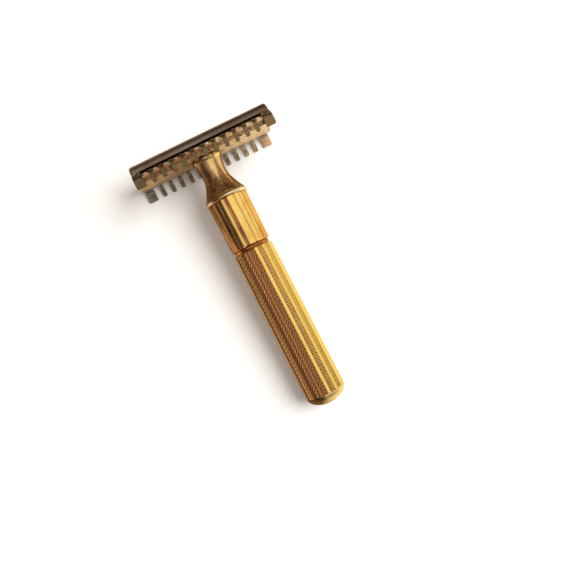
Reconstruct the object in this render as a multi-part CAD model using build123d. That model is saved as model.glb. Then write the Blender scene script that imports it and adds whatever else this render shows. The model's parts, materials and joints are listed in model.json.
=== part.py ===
from build123d import *
import math
import os

# A twist-to-open double-edge safety razor with an open comb.
#
# Every piece is drawn in the razor's own axes: Z runs up the handle to the doors, X lies
# along the head and Y across it, and Z = 0 is the top face of the comb plate. The finished
# pieces are then laid on their side, the way the razor rests on a table: on the tips of one
# row of teeth and on the lower end of the grip.
#
# Twisting the grip turns the drive nut, which lifts the rod, and the rod lifts the blade
# tray with the brackets that carry the two doors. The doors swing open as they rise.

# ---- Comb plate (mm) ----
head_length = 42.8
comb_width = 24.4
sheet = 0.8
bend_radius = 2.0
tooth_drop = 4.3
tooth_pitch = 3.19
tooth_width = 1.2
end_tooth_least = 2.8
tooth_tip_radius = 0.45
slot_root_inset = 2.5
channel_width = 11.0
channel_depth = 1.0

# ---- Doors ----
door_inset = 0.05
door_setback = 1.72
door_crown = 4.15
door_edge_top = 2.55
door_front_round = 2.0
door_edge_bottom = 0.53
door_shell = 0.9
door_rim_width = 2.2
door_rim_skin = 0.35
door_end_wall = 1.4
door_end_round = 0.8
door_seam = 0.1
lip_width = 2.1
lip_gap = 0.1
tab_headroom = 0.6

# ---- Door hinges ----
hinge_inset = 1.48
pocket_steps = 6
hinge_height = 0.9
hinge_pin_radius = 0.3
hinge_pin_grip = 0.7
hinge_clearance = 0.03
ear_radius = 0.55
ear_arm_width = 0.7
ear_arm_angle = 40.0
ear_pocket_gap = 0.15
bracket_thickness = 0.8
door_opening_deg = 90.0

# ---- Blade tray ----
tray_clearance = 0.15
tray_floor_gap = 0.1
bracket_top_gap = 0.05
rail_length = 34.0
rail_width = 1.6
rail_height = 1.3
stud_radius = 1.6
stud_height = 1.5
stud_spacing = 26.0
stud_chamfer = 0.4

# ---- Neck ----
neck_length = 12.65
neck_flange_radius = 4.6
neck_flange_height = 1.5
neck_flange_bulge = 0.3
neck_waist_radius = 3.75
neck_waist_drop = 5.1
neck_flare_radius = 4.9
neck_flare_rise = 3.25
neck_foot_radius = 6.3
neck_spigot_radius = 2.6
neck_guide_length = 4.0
neck_socket_depth = 4.0

# ---- Handle ----
ring_radius = 6.55
ring_height = 1.2
ring_bulge = 0.3
barrel_top_radius = 6.17
barrel_end_radius = 5.95
barrel_length = 15.3
flute_count = 14
flute_phase_deg = 7.8
reed_radius = 1.55
collar_radius = 5.49
collar_groove_radius = 5.1
collar_height = 1.2
collar_bead = 0.8
joint_gap = 0.1
grip_top_radius = 6.0
grip_end_radius = 6.13
grip_flute_radius = 5.8
grip_length = 47.1
grip_rib_radius = 0.75
grip_dome = 3.5
grip_bore_radius = 4.6
grip_bearing_length = 4.7
plug_face_drop = 1.8
plug_spigot_length = 4.0

# ---- Core tube and screw ----
core_radius = 3.2
core_bore_radius = 2.2
core_reach = 12.0
core_clearance = 0.05
washer_radius = 4.1
washer_thickness = 0.4
washer_gap = 0.1
clip_radius = 4.2
clip_thickness = 0.7
clip_groove = 0.25
clip_opening = 2.1
rod_radius = 1.5
rod_clearance = 0.07
screw_radius = 1.7
screw_clearance = 0.08
screw_runout = 1.6
screw_lead = 4.0
lift_travel = 3.5
nut_drop = 16.8
nut_height = 5.0
lock_ring_height = 0.9
lock_ring_wall = 1.0
stop_gap = 0.1
stop_washer_radius = 3.2
stop_washer_thickness = 0.7
stop_nut_flats = 5.5
stop_nut_height = 2.0
rod_tail = 0.8

# ---- How far a cut runs past the face it leaves ----
past = 1.0

# ---- Places worked out from the sizes ----
half_head = head_length / 2
half_comb = comb_width / 2
bend_y = half_comb - bend_radius
half_channel = channel_width / 2
channel_inner = half_channel - sheet
channel_top = -channel_depth
channel_bottom = -channel_depth - sheet
slot_width = tooth_pitch - tooth_width
tooth_count = int((head_length - slot_width - 2 * end_tooth_least) / tooth_pitch)
slot_root_y = half_comb - slot_root_inset

half_door = half_head - door_inset
door_reach = half_comb - door_setback
door_wall_x = half_door - door_end_wall
crown_drop = door_crown - door_edge_top
door_arc = (door_reach**2 + crown_drop**2) / (2 * crown_drop)
door_arc_z = door_crown - door_arc
hinge_y = door_reach - hinge_inset
bracket_outer = door_wall_x - ear_pocket_gap
bracket_inner = bracket_outer - bracket_thickness
tray_bottom = channel_top + tray_floor_gap

neck_top = channel_bottom
neck_foot = neck_top - neck_length
ring_bottom = neck_foot - ring_height
barrel_end = ring_bottom - barrel_length
collar_end = barrel_end - collar_height
grip_top = collar_end - joint_gap
grip_shoulder = grip_top - grip_length
grip_end = grip_shoulder - grip_dome
bearing_end = grip_top - grip_bearing_length
washer_top = bearing_end - washer_gap
clip_top = washer_top - washer_thickness
core_end = grip_top - core_reach
nut_top = grip_top - nut_drop
nut_bottom = nut_top - nut_height
stop_top = nut_bottom - stop_gap - lift_travel
stop_nut_top = stop_top - stop_washer_thickness
rod_end = stop_nut_top - stop_nut_height - rod_tail
plug_face = grip_shoulder - plug_face_drop
twist_deg = 360.0 * lift_travel / screw_lead


def block(x0, x1, y0, y1, z0, z1):
    """A box between two corners."""
    centre = Pos((x0 + x1) / 2, (y0 + y1) / 2, (z0 + z1) / 2)
    return centre * Box(abs(x1 - x0), abs(y1 - y0), abs(z1 - z0))


def post(radius, z0, z1, x=0.0, y=0.0):
    """A round bar along Z."""
    return Pos(x, y, (z0 + z1) / 2) * Cylinder(radius, abs(z1 - z0))


def spindle(radius, x0, x1, y, z):
    """A round bar along X."""
    return Pos((x0 + x1) / 2, y, z) * Rot(0, 90, 0) * Cylinder(radius, abs(x1 - x0))


def turned(*edges):
    """A solid turned about Z from an outline in the XZ plane."""
    outline = Plane.XZ * make_face(edges)
    return revolve(outline, Axis.Z)


def both_ends(shape):
    """The shape and its copy half a turn round the handle."""
    return shape + Rot(0, 0, 180) * shape


# ---- Head ----
def comb_fringe():
    """One long side of the plate: the bend and the apron that the teeth are cut from."""
    bend = spindle(bend_radius, -half_head, half_head, bend_y, -bend_radius)
    bend -= spindle(bend_radius - sheet, -half_head, half_head, bend_y, -bend_radius)
    bend &= block(-half_head, half_head, bend_y, half_comb, -bend_radius, 0)
    apron = block(-half_head, half_head, half_comb - sheet, half_comb, -tooth_drop, -bend_radius)
    return bend + apron


def comb_slots():
    """The gaps between the teeth of one long side, with round roots."""
    gaps = Part()
    root_y = slot_root_y + slot_width / 2
    z0 = -tooth_drop - past
    for step in range(tooth_count + 1):
        x = (step - tooth_count / 2) * tooth_pitch
        gaps += block(x - slot_width / 2, x + slot_width / 2, root_y, half_comb + past, z0, past)
        gaps += post(slot_width / 2, -sheet - past, past, x, root_y)
    return gaps


def bracket_slot():
    """The way through the plate for the bracket at the +X end."""
    reach = hinge_y + ear_radius + 2 * tray_clearance
    x0 = bracket_inner - tray_clearance
    x1 = bracket_outer + tray_clearance
    return block(x0, x1, -reach, reach, channel_top, past)


def make_comb_plate():
    """The sheet saddle: a flat top with a channel for the tray, and a toothed fringe each side."""
    plate = block(-half_head, half_head, -bend_y, bend_y, -sheet, 0)
    plate += block(-half_head, half_head, -half_channel, half_channel, channel_bottom, 0)
    plate += both_ends(comb_fringe())
    plate -= block(-half_head - past, half_head + past, -channel_inner, channel_inner, channel_top, past)
    plate -= both_ends(comb_slots())
    plate -= both_ends(bracket_slot())
    plate -= post(neck_spigot_radius, channel_bottom - past, past)
    tips = plate.edges().filter_by(Axis.Y).group_by(Axis.Z)[0]
    return fillet(tips, tooth_tip_radius)


def make_door():
    """The door over the +Y half: a curved shell with a clamping rim and closed ends."""
    roof = door_crown + past
    crown = spindle(door_arc, -half_door, half_door, 0, door_arc_z)
    hollow = spindle(door_arc - door_shell, -door_wall_x, door_wall_x, 0, door_arc_z)
    door = crown & block(-half_door, half_door, door_seam / 2, door_reach, door_edge_bottom, roof)
    front_edge = door.edges().filter_by(Axis.X).group_by(Axis.Y)[-1].sort_by(Axis.Z)[-1]
    door = fillet(front_edge, door_front_round)
    top_ends = door.edges().filter_by(GeomType.CIRCLE)
    door = fillet(top_ends, door_end_round)
    rim_y = door_reach - door_rim_width
    door -= hollow & block(-door_wall_x, door_wall_x, 0, rim_y, 0, roof)
    door -= block(-half_door - past, half_door + past, 0, rim_y, 0, tab_headroom)
    for end in (-1, 1):
        lip_y = door_reach - lip_width
        door += block(end * door_wall_x, end * half_door, lip_y, door_reach, lip_gap, door_edge_bottom)
    door -= ear_pockets()
    door -= hinge_pin_pair()
    return door


def ear_arm(angle, half_width, x0, x1, length):
    """A straight arm from the hinge axis, at an angle inward from straight down."""
    arm = block(x0, x1, -half_width, half_width, -length, 0)
    return Pos(0, hinge_y, hinge_height) * Rot(-angle, 0, 0) * arm


def ear_pockets():
    """The room in the door that a bracket's ear and its arm need over the whole swing."""
    room = Part()
    half_arm = ear_arm_width / 2 + ear_pocket_gap
    for end in (-1, 1):
        x0 = end * (bracket_inner - ear_pocket_gap)
        x1 = end * door_wall_x
        room += spindle(ear_radius + ear_pocket_gap, x0, x1, hinge_y, hinge_height)
        for step in range(pocket_steps + 1):
            angle = ear_arm_angle - door_opening_deg * step / pocket_steps
            room += ear_arm(angle, half_arm, x0, x1, ear_radius + hinge_height)
    return room & block(-half_door, half_door, 0, door_reach - door_rim_skin, -past, door_crown)


def hinge_pin_pair():
    """The two pins of one door, one at each end."""
    inner = bracket_inner - ear_pocket_gap - hinge_pin_grip
    left = spindle(hinge_pin_radius, -half_door, -inner, hinge_y, hinge_height)
    return left + spindle(hinge_pin_radius, inner, half_door, hinge_y, hinge_height)


def make_bracket():
    """The cross bracket at the +X end of the tray, with an ear for each door."""
    foot = hinge_y - ear_radius
    bracket = block(bracket_inner, bracket_outer, -foot, foot, tray_bottom, -bracket_top_gap)
    arm_length = (hinge_height - tray_bottom) / math.cos(math.radians(ear_arm_angle))
    arm = ear_arm(ear_arm_angle, ear_arm_width / 2, bracket_inner, bracket_outer, arm_length)
    arm &= block(bracket_inner, bracket_outer, 0, hinge_y + ear_radius, tray_bottom, door_crown)
    ear = arm + spindle(ear_radius, bracket_inner, bracket_outer, hinge_y, hinge_height)
    ear -= spindle(hinge_pin_radius + hinge_clearance, bracket_inner, bracket_outer, hinge_y, hinge_height)
    return bracket + ear + mirror(ear, Plane.XZ)


# ---- Blade tray ----
def make_blade_tray():
    """The flat bar that lies in the plate's channel and carries the blade."""
    half_width = channel_inner - tray_clearance
    tray = block(-bracket_inner, bracket_inner, -half_width, half_width, tray_bottom, 0)
    return tray - post(rod_radius, tray_bottom, 0)


def make_locating_studs():
    """Two round studs that the blade's holes drop over."""
    left = post(stud_radius, 0, stud_height, -stud_spacing / 2)
    right = post(stud_radius, 0, stud_height, stud_spacing / 2)
    studs = left + right
    return chamfer(studs.faces().group_by(Axis.Z)[-1].edges(), stud_chamfer)


def make_locating_rail():
    """The raised rail between and beyond the studs, for the blade's slot."""
    rail = block(-rail_length / 2, rail_length / 2, -rail_width / 2, rail_width / 2, 0, rail_height)
    for side in (-1, 1):
        rail -= post(stud_radius, 0, stud_height, side * stud_spacing / 2)
    return rail


# ---- Neck and handle ----
def make_neck():
    """The trumpet neck: a flange under the plate, a waist and a flare down to the ring."""
    flange_bottom = neck_top - neck_flange_height
    waist = (neck_waist_radius, neck_top - neck_waist_drop)
    flare = (neck_flare_radius, neck_foot + neck_flare_rise)
    foot = (neck_foot_radius, neck_foot)
    shoulder = (neck_flange_radius - neck_flange_bulge, neck_top)
    bulge = (neck_flange_radius, neck_top - neck_flange_height / 2)
    under = (neck_flange_radius - neck_flange_bulge, flange_bottom)
    neck = turned(
        Line((0, neck_top), shoulder),
        ThreePointArc(shoulder, bulge, under),
        Spline(under, waist, flare, foot),
        Line(foot, (0, neck_foot)),
        Line((0, neck_foot), (0, neck_top)),
    )
    neck += post(neck_spigot_radius, neck_top, channel_top)
    neck -= post(core_bore_radius, neck_foot, neck_top - neck_guide_length)
    neck -= post(rod_radius + rod_clearance, neck_foot, channel_top)
    return neck - post(core_radius, neck_foot, neck_foot + neck_socket_depth)


def make_neck_ring():
    """The proud rounded ring between neck and barrel."""
    top = (ring_radius - ring_bulge, neck_foot)
    bottom = (ring_radius - ring_bulge, ring_bottom)
    ring = turned(
        Line((core_radius, neck_foot), top),
        ThreePointArc(top, (ring_radius, (neck_foot + ring_bottom) / 2), bottom),
        Line(bottom, (core_radius, ring_bottom)),
        Line((core_radius, ring_bottom), (core_radius, neck_foot)),
    )
    return ring


def around_handle(shape):
    """Copies of a shape, one for each flute, with the first turned to the flute phase."""
    row = Part()
    for step in range(flute_count):
        row += Rot(0, 0, flute_phase_deg - 90 + step * 360 / flute_count) * shape
    return row


def make_barrel():
    """The plain upper barrel, reeded all round and slightly tapered."""
    reed_y = max(barrel_top_radius, barrel_end_radius) - reed_radius
    valley = reed_y * math.cos(math.pi / flute_count)
    reeds = around_handle(post(reed_radius, barrel_end, ring_bottom, reed_y))
    body = reeds + post(valley, barrel_end, ring_bottom)
    envelope = turned(
        Line((core_radius, ring_bottom), (barrel_top_radius, ring_bottom)),
        Line((barrel_top_radius, ring_bottom), (barrel_end_radius, barrel_end)),
        Line((barrel_end_radius, barrel_end), (core_radius, barrel_end)),
        Line((core_radius, barrel_end), (core_radius, ring_bottom)),
    )
    return body & envelope


def make_joint_collar():
    """The plain beaded collar at the turning joint."""
    groove = (collar_height - collar_bead) / 2
    collar = post(collar_groove_radius, collar_end, barrel_end)
    collar += post(collar_radius, collar_end + groove, barrel_end - groove)
    return collar - post(core_radius, collar_end, barrel_end)


def grip_envelope():
    """The grip's outside without its flutes: a slight taper that ends in a flat dome."""
    dome = EllipticalCenterArc(
        (0, grip_shoulder), grip_end_radius, grip_dome, start_angle=270, arc_size=90
    )
    return turned(
        Line((0, grip_top), (grip_top_radius, grip_top)),
        Line((grip_top_radius, grip_top), (grip_end_radius, grip_shoulder)),
        dome,
        Line((0, grip_end), (0, grip_top)),
    )


def make_grip_sleeve():
    """The long turning grip: ribs with knurled flats between them, over a hollow core."""
    rib_y = max(grip_top_radius, grip_end_radius) - grip_rib_radius
    body = post(grip_flute_radius, grip_end, grip_top)
    body += around_handle(post(grip_rib_radius, grip_end, grip_top, rib_y))
    sleeve = body & grip_envelope()
    sleeve -= post(grip_end_radius, grip_end - past, plug_face)
    sleeve -= post(core_radius + core_clearance, bearing_end, grip_top)
    return sleeve - post(grip_bore_radius, plug_face, bearing_end)


def make_end_plug():
    """The smooth domed plug in the lower end of the grip."""
    sweep = math.degrees(math.acos(plug_face_drop / grip_dome))
    dome = EllipticalCenterArc(
        (0, grip_shoulder), grip_end_radius, grip_dome, start_angle=270, arc_size=sweep
    )
    spigot_top = plug_face + plug_spigot_length
    return turned(
        dome,
        Line(dome @ 1, (grip_bore_radius, plug_face)),
        Line((grip_bore_radius, plug_face), (grip_bore_radius, spigot_top)),
        Line((grip_bore_radius, spigot_top), (0, spigot_top)),
        Line((0, spigot_top), (0, grip_end)),
    )


# ---- Inner works ----
def make_core_tube():
    """The fixed tube from the neck to inside the grip, which the grip turns on."""
    top = neck_foot + neck_socket_depth
    tube = post(core_radius, core_end, top) - post(core_bore_radius, core_end, top)
    groove = post(core_radius, clip_top - clip_thickness, clip_top)
    groove -= post(core_radius - clip_groove, clip_top - clip_thickness, clip_top)
    return tube - groove


def make_thrust_washer():
    """The washer between the grip's bearing and the clip."""
    washer = post(washer_radius, clip_top, washer_top)
    return washer - post(core_radius, clip_top, washer_top)


def make_retaining_clip():
    """The spring clip in the core tube's groove, open on one side."""
    clip = post(clip_radius, clip_top - clip_thickness, clip_top)
    clip -= post(core_radius - clip_groove, clip_top - clip_thickness, clip_top)
    half_gap = clip_opening / 2
    return clip - block(0, clip_radius, -half_gap, half_gap, clip_top - clip_thickness, clip_top)


def make_drive_nut():
    """The nut fixed in the grip that drives the screw."""
    nut = post(grip_bore_radius, nut_bottom, nut_top)
    return nut - post(screw_radius + screw_clearance, nut_bottom, nut_top)


def make_nut_lock_ring():
    """The ring that holds the drive nut up in the grip."""
    ring = post(grip_bore_radius, nut_bottom - lock_ring_height, nut_bottom)
    return ring - post(grip_bore_radius - lock_ring_wall, nut_bottom - lock_ring_height, nut_bottom)


def make_lift_rod():
    """The rod from the tray down through the drive nut, screwed over its lower length."""
    screw_top = nut_top + screw_runout
    return post(rod_radius, screw_top, 0) + post(screw_radius, rod_end, screw_top)


def make_stop_washer():
    """The washer that stops the lift against the drive nut."""
    washer = post(stop_washer_radius, stop_nut_top, stop_top)
    return washer - post(screw_radius, stop_nut_top, stop_top)


def make_stop_nut():
    """The small six-sided nut under the stop washer."""
    hexagon = RegularPolygon(stop_nut_flats / 2, 6, major_radius=False)
    nut = extrude(Pos(0, 0, stop_nut_top - stop_nut_height) * hexagon, stop_nut_height)
    return nut - post(screw_radius, rod_end, stop_nut_top)


def half_turn(shape):
    """The same piece on the other side of the handle's axis."""
    return Rot(0, 0, 180) * shape


def make_pieces():
    """Every piece by its name, in the razor's own axes."""
    rear_door = make_door()
    rear_pins = hinge_pin_pair()
    bracket = make_bracket()
    return {
        "comb_plate": make_comb_plate(),
        "neck": make_neck(),
        "neck_ring": make_neck_ring(),
        "barrel": make_barrel(),
        "joint_collar": make_joint_collar(),
        "core_tube": make_core_tube(),
        "thrust_washer": make_thrust_washer(),
        "retaining_clip": make_retaining_clip(),
        "grip_sleeve": make_grip_sleeve(),
        "end_plug": make_end_plug(),
        "drive_nut": make_drive_nut(),
        "nut_lock_ring": make_nut_lock_ring(),
        "lift_rod": make_lift_rod(),
        "stop_washer": make_stop_washer(),
        "stop_nut": make_stop_nut(),
        "blade_tray": make_blade_tray(),
        "locating_rail": make_locating_rail(),
        "locating_studs": make_locating_studs(),
        "bracket_right": bracket,
        "bracket_left": half_turn(bracket),
        "rear_door": rear_door,
        "rear_hinge_pins": rear_pins,
        "front_door": half_turn(rear_door),
        "front_hinge_pins": half_turn(rear_pins),
    }


def rest_tilt_deg():
    """How far the handle slopes when the razor lies on its lower teeth and the grip's end.

    The table is the line through the teeth's tips that touches the round shoulder of the grip.
    """
    across = half_comb - grip_end_radius
    along = grip_shoulder + tooth_drop
    return math.degrees(math.atan2(across, -along))


def lay_down(pieces):
    """Lay the razor on its side, with the middle of its footprint box at the origin."""
    lay = Rot(rest_tilt_deg() - 90, 0, 0)
    laid = {name: lay * shape for name, shape in pieces.items()}
    box = Compound(list(laid.values())).bounding_box()
    middle = box.center()
    shift = Pos(-middle.X, -middle.Y, -box.min.Z)
    return {name: shift * shape for name, shape in laid.items()}, shift * lay


pieces, placement = lay_down(make_pieces())
handle_up = (placement * Pos(0, 0, 1)).position - placement.position
grip_joint = (placement * Pos(0, 0, grip_top)).position
rear_hinge = (placement * Pos(0, hinge_y, hinge_height)).position
front_hinge = (placement * Pos(0, -hinge_y, hinge_height)).position
print(f"up the handle {tuple(handle_up)}, with a rest tilt of {rest_tilt_deg():.3f} degrees")
print(f"the grip turns {twist_deg:.1f} degrees for {lift_travel} mm of lift, at {tuple(grip_joint)}")
print(f"the doors swing {door_opening_deg} degrees, at {tuple(rear_hinge)} and {tuple(front_hinge)}")

os.makedirs("parts", exist_ok=True)
for name, shape in pieces.items():
    shape.label = name
    export_step(shape, os.path.join("parts", name + ".step"))
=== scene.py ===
import json
import math

import bmesh
import bpy
from mathutils import Matrix, Vector


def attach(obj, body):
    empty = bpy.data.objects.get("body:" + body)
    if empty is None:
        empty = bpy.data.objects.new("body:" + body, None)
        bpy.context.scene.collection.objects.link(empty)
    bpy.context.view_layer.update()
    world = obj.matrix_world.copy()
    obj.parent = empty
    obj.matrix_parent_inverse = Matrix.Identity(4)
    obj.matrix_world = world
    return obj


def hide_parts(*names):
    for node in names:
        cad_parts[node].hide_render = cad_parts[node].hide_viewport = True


bl_info = {
    "name": "Twist-to-open razor finish",
    "version": (1, 0, 0),
    "blender": (4, 5, 0),
    "location": "3D View > Sidebar > Razor",
    "description": "Dresses an open-comb safety razor in knurled, reeded and tarnished gold plate",
    "category": "Object",
}

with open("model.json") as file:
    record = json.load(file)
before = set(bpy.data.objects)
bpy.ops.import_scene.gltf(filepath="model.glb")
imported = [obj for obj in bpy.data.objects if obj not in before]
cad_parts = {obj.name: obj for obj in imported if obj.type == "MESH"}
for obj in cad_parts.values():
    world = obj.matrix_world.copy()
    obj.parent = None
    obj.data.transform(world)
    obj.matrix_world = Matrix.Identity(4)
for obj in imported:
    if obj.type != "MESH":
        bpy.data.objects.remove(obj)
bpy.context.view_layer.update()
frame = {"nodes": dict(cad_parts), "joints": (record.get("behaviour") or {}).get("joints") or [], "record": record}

MM = 0.001


# ---- The razor's own axes, found from its joints ----
def joint_named(name):
    """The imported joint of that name."""
    return next(joint for joint in frame["joints"] if joint["name"] == name)


UP = -Vector(joint_named("grip_twist")["axis"]).normalized()
GRIP_TOP_POINT = Vector(joint_named("grip_twist")["pos_m"])
REAR_HINGE = Vector(joint_named("rear_door_swing")["pos_m"])
FRONT_HINGE = Vector(joint_named("front_door_swing")["pos_m"])
REAR = (REAR_HINGE - FRONT_HINGE).normalized()
ALONG_HEAD = REAR.cross(UP)
RAZOR_TURN = Matrix((ALONG_HEAD, REAR, UP)).transposed().to_4x4()
FROM_RAZOR = Matrix.Translation(GRIP_TOP_POINT) @ RAZOR_TURN
TO_RAZOR = FROM_RAZOR.inverted()


def razor_points(node):
    """A CAD node's points in razor axes and millimetres."""
    return [TO_RAZOR @ vertex.co / MM for vertex in frame["nodes"][node].data.vertices]


def node_span(node):
    """A CAD node's lowest and highest place along the handle, in mm."""
    heights = [point.z for point in razor_points(node)]
    return min(heights), max(heights)


def node_radius(node, low=-math.inf, high=math.inf):
    """A CAD node's greatest distance from the handle's axis between two places along it, in mm."""
    return max(math.hypot(p.x, p.y) for p in razor_points(node) if low <= p.z <= high)


# ---- What a user may change ----
def srgb(red, green, blue):
    """A linear colour from the usual 0 to 255 values."""
    def linear(value):
        share = value / 255
        return share / 12.92 if share <= 0.04045 else ((share + 0.055) / 1.055) ** 2.4
    return (linear(red), linear(green), linear(blue), 1.0)


def colour_prop(name, description, default):
    """A colour that a user may change."""
    return bpy.props.FloatVectorProperty(
        name=name, description=description, default=default,
        size=4, subtype="COLOR", min=0.0, max=1.0,
    )


def length_prop(name, description, default_mm):
    """A length that a user may change, held in metres."""
    return bpy.props.FloatProperty(
        name=name, description=description, default=default_mm * MM,
        subtype="DISTANCE", unit="LENGTH",
    )


def angle_prop(name, description, default_deg):
    """An angle that a user may change, held in radians."""
    return bpy.props.FloatProperty(
        name=name, description=description, default=math.radians(default_deg), subtype="ANGLE",
    )


class RazorSizes(bpy.types.PropertyGroup):
    """Sizes of the details that the finish adds to the razor."""

    flute_count: bpy.props.IntProperty(
        name="Ribs", description="Ribs round the handle", default=14, min=4
    )
    flute_phase: angle_prop("First rib", "Turn of the first rib from the front of the head", 5.8)
    reed_radius: length_prop("Reed radius", "Roundness of each plain reed on the barrel", 2.6)
    rib_width: length_prop("Rib width", "Width of each plain rib on the grip", 1.07)
    rib_height: length_prop("Rib height", "How far a rib stands above the knurl's roots", 0.28)
    knurl_depth: length_prop("Knurl depth", "Depth of the diamond knurl", 0.17)
    knurl_row: length_prop("Knurl row", "Half the height of one knurled diamond", 0.60)
    sheet_edge: length_prop("Sheet edge", "Rounding of the comb's and doors' edges", 0.12)


class RazorColours(bpy.types.PropertyGroup):
    """Colours of the plating and its tarnish, and of the light and shade painted on it."""

    # Also painted light on the barrel's and grip's side toward the lamp.
    bright_gold: colour_prop("Bright gold", "Plate where it is rubbed bright", srgb(252, 216, 118))
    deep_gold: colour_prop("Deep gold", "Plate that has warmed with age", srgb(214, 148, 74))
    # Also the ring's painted highlight on the side toward the lamp.
    pale_gold: colour_prop("Pale gold", "Plate worn thin and pale", srgb(240, 222, 172))
    # Also painted shade on the barrel's and grip's side away from the lamp.
    red_brown: colour_prop("Red brown", "Coppery tarnish", srgb(182, 124, 78))
    # Also the grip's strips away from the lamp, partly painted shade, and a painted highlight spot on a rear end
    # tooth.
    copper_gold: colour_prop("Copper gold", "Plate worn through to copper", srgb(255, 198, 132))
    hollow_brown: colour_prop("Hollow brown", "Coppery tarnish in the knurl", srgb(152, 88, 50))
    hollow_gold: colour_prop("Hollow gold", "Tarnish in the rubbed knurl", srgb(152, 98, 40))
    neck_brown: colour_prop("Neck brown", "Yellow-brown tarnish of the neck", srgb(190, 146, 100))
    neck_dark: colour_prop("Neck dark", "Darker tarnish of the neck", srgb(128, 92, 62))
    # Painted highlights: the neck's streaks, the grip's bright line and the plug's side toward the lamp.
    highlight_gold: colour_prop("Neck gold", "Worn streaks on the neck", srgb(255, 222, 150))
    # Also painted shade on the grip's far ribs and the plug's far side, and the grip's painted dark reflection
    # line.
    dark_brown: colour_prop("Dark brown", "Old tarnish in the hollows", srgb(104, 72, 46))
    olive: colour_prop("Olive", "Tarnished brass of the comb", srgb(104, 90, 64))
    # Used more towards the right end of the head, partly as painted light.
    comb_tan: colour_prop("Comb tan", "Teeth that handling has rubbed", srgb(136, 112, 78))
    comb_gold: colour_prop("Comb gold", "Plate on the comb's underside", srgb(246, 222, 184))
    comb_copper: colour_prop("Comb copper", "Copper showing on the underside", srgb(204, 166, 128))
    comb_grey: colour_prop("Comb grey", "Grey bloom on the rear teeth", srgb(152, 142, 128))
    # Used more towards the right end of the head, partly as painted light.
    comb_pale: colour_prop("Comb pale", "Rear teeth where they are rubbed", srgb(228, 208, 178))
    door_brown: colour_prop("Door brown", "Dull brown tarnish of the doors", srgb(134, 116, 104))
    door_dark: colour_prop("Door dark", "Darker tarnish of the doors", srgb(112, 94, 80))
    verdigris: colour_prop("Verdigris", "Green-grey bloom in the corners", srgb(120, 136, 118))
    steel: colour_prop("Steel", "Turned steel inside the handle", srgb(196, 196, 198))
    dull_steel: colour_prop("Dull steel", "Turned steel where it has dulled", srgb(150, 148, 146))
    floor: colour_prop("Floor", "Colour of the floor", srgb(240, 239, 237))
    floor_glow: colour_prop("Floor glow", "Light added to the floor where seen", srgb(68, 54, 42))


class StageSettings(bpy.types.PropertyGroup):
    """The lamp, the room and the camera of the plain stage."""

    window_power: bpy.props.FloatProperty(
        name="Window", description="Strength of the broad soft lamp", default=2.88
    )
    window_spread: angle_prop("Window spread", "How broad the soft lamp looks", 43)
    sky: bpy.props.FloatProperty(
        name="Ceiling", description="Brightness of the room overhead and to the right", default=1.0
    )
    wall: bpy.props.FloatProperty(
        name="Wall", description="Brightness of the room low on the right", default=0.7
    )
    dim: bpy.props.FloatProperty(
        name="Dim side", description="Brightness of the rest of the room", default=0.10
    )
    lens: bpy.props.FloatProperty(
        name="Lens", description="Focal length of the camera",
        default=38.23, subtype="DISTANCE_CAMERA",
    )


# ---- Formulas inside node trees ----
class Field:
    """A number inside a node tree, so that a rule can be written as a formula."""

    def __init__(self, tree, socket):
        self.tree = tree
        self.socket = socket

    def math(self, operation, *others):
        """The result of a Math node with this number first."""
        node = self.tree.nodes.new("ShaderNodeMath")
        node.operation = operation
        feed(self.tree, node, (self, *others))
        return Field(self.tree, node.outputs[0])

    def __add__(self, other):
        return self.math("ADD", other)

    def __sub__(self, other):
        return self.math("SUBTRACT", other)

    def __mul__(self, other):
        return self.math("MULTIPLY", other)

    def __truediv__(self, other):
        return self.math("DIVIDE", other)

    def rising(self, low, high):
        """0 below low, 1 above high and a smooth step between."""
        node = self.tree.nodes.new("ShaderNodeMapRange")
        node.interpolation_type = "SMOOTHSTEP"
        self.tree.links.new(self.socket, node.inputs["Value"])
        node.inputs["From Min"].default_value = low
        node.inputs["From Max"].default_value = high
        return Field(self.tree, node.outputs["Result"])

    def falling(self, low, high):
        """1 below low, 0 above high and a smooth step between."""
        return self.rising(low, high) * -1.0 + 1.0


def feed(tree, node, values):
    """Gives a node's inputs, in order, fields or plain numbers."""
    for index, value in enumerate(values):
        if isinstance(value, Field):
            tree.links.new(value.socket, node.inputs[index])
        else:
            node.inputs[index].default_value = value


def constant(tree, value):
    """A fixed number as a field."""
    node = tree.nodes.new("ShaderNodeValue")
    node.outputs[0].default_value = value
    return Field(tree, node.outputs[0])


def join_xyz(tree, x, y, z):
    """Three fields as one vector socket."""
    node = tree.nodes.new("ShaderNodeCombineXYZ")
    feed(tree, node, (x, y, z))
    return node.outputs[0]


def split_xyz(tree, vector):
    """The three parts of a vector socket as fields."""
    node = tree.nodes.new("ShaderNodeSeparateXYZ")
    tree.links.new(vector, node.inputs[0])
    return [Field(tree, output) for output in node.outputs]


# ---- Where the plate is worn and where light and shade are painted on it, as turns round the handle from the front of the head ----
# The turn of the side toward the lamp: the plate is brightest there, from wear and painted light, and darkest
# opposite, from painted shade.
LIT_AND_WORN_SIDE = math.radians(65)
# Turns of the neck's two painted highlights.
NECK_HIGHLIGHTS = (math.radians(7), math.radians(44))
# A painted highlight line on the flank of a rib.
HIGHLIGHT_LINE = math.radians(-60)
HIGHLIGHT_LINE_WIDTH = (math.radians(1.5), math.radians(3.0))
# A painted dark reflection line on the grip.
DARK_REFLECTION = math.radians(-35)
DARK_REFLECTION_WIDTH = (math.radians(2), math.radians(5))

# The painted highlight, a round copper spot on a rear end tooth: its place along the head and its height over the
# tooth tips, and the squared distances at which it starts and stops fading, in millimetres.
END_TOOTH_HIGHLIGHT = (19.9, 1.6)
END_TOOTH_HIGHLIGHT_FADE = (0.2, 1.8)

# The underside's gold reaches this far to each side of the handle's axis, in millimetres.
UNDERSIDE_REACH = 10.6

# From this height up the handle, in millimetres, the neck gets brighter.
NECK_MIDDLE = 24.5

EDGE_TINT = srgb(225, 200, 172)


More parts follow.
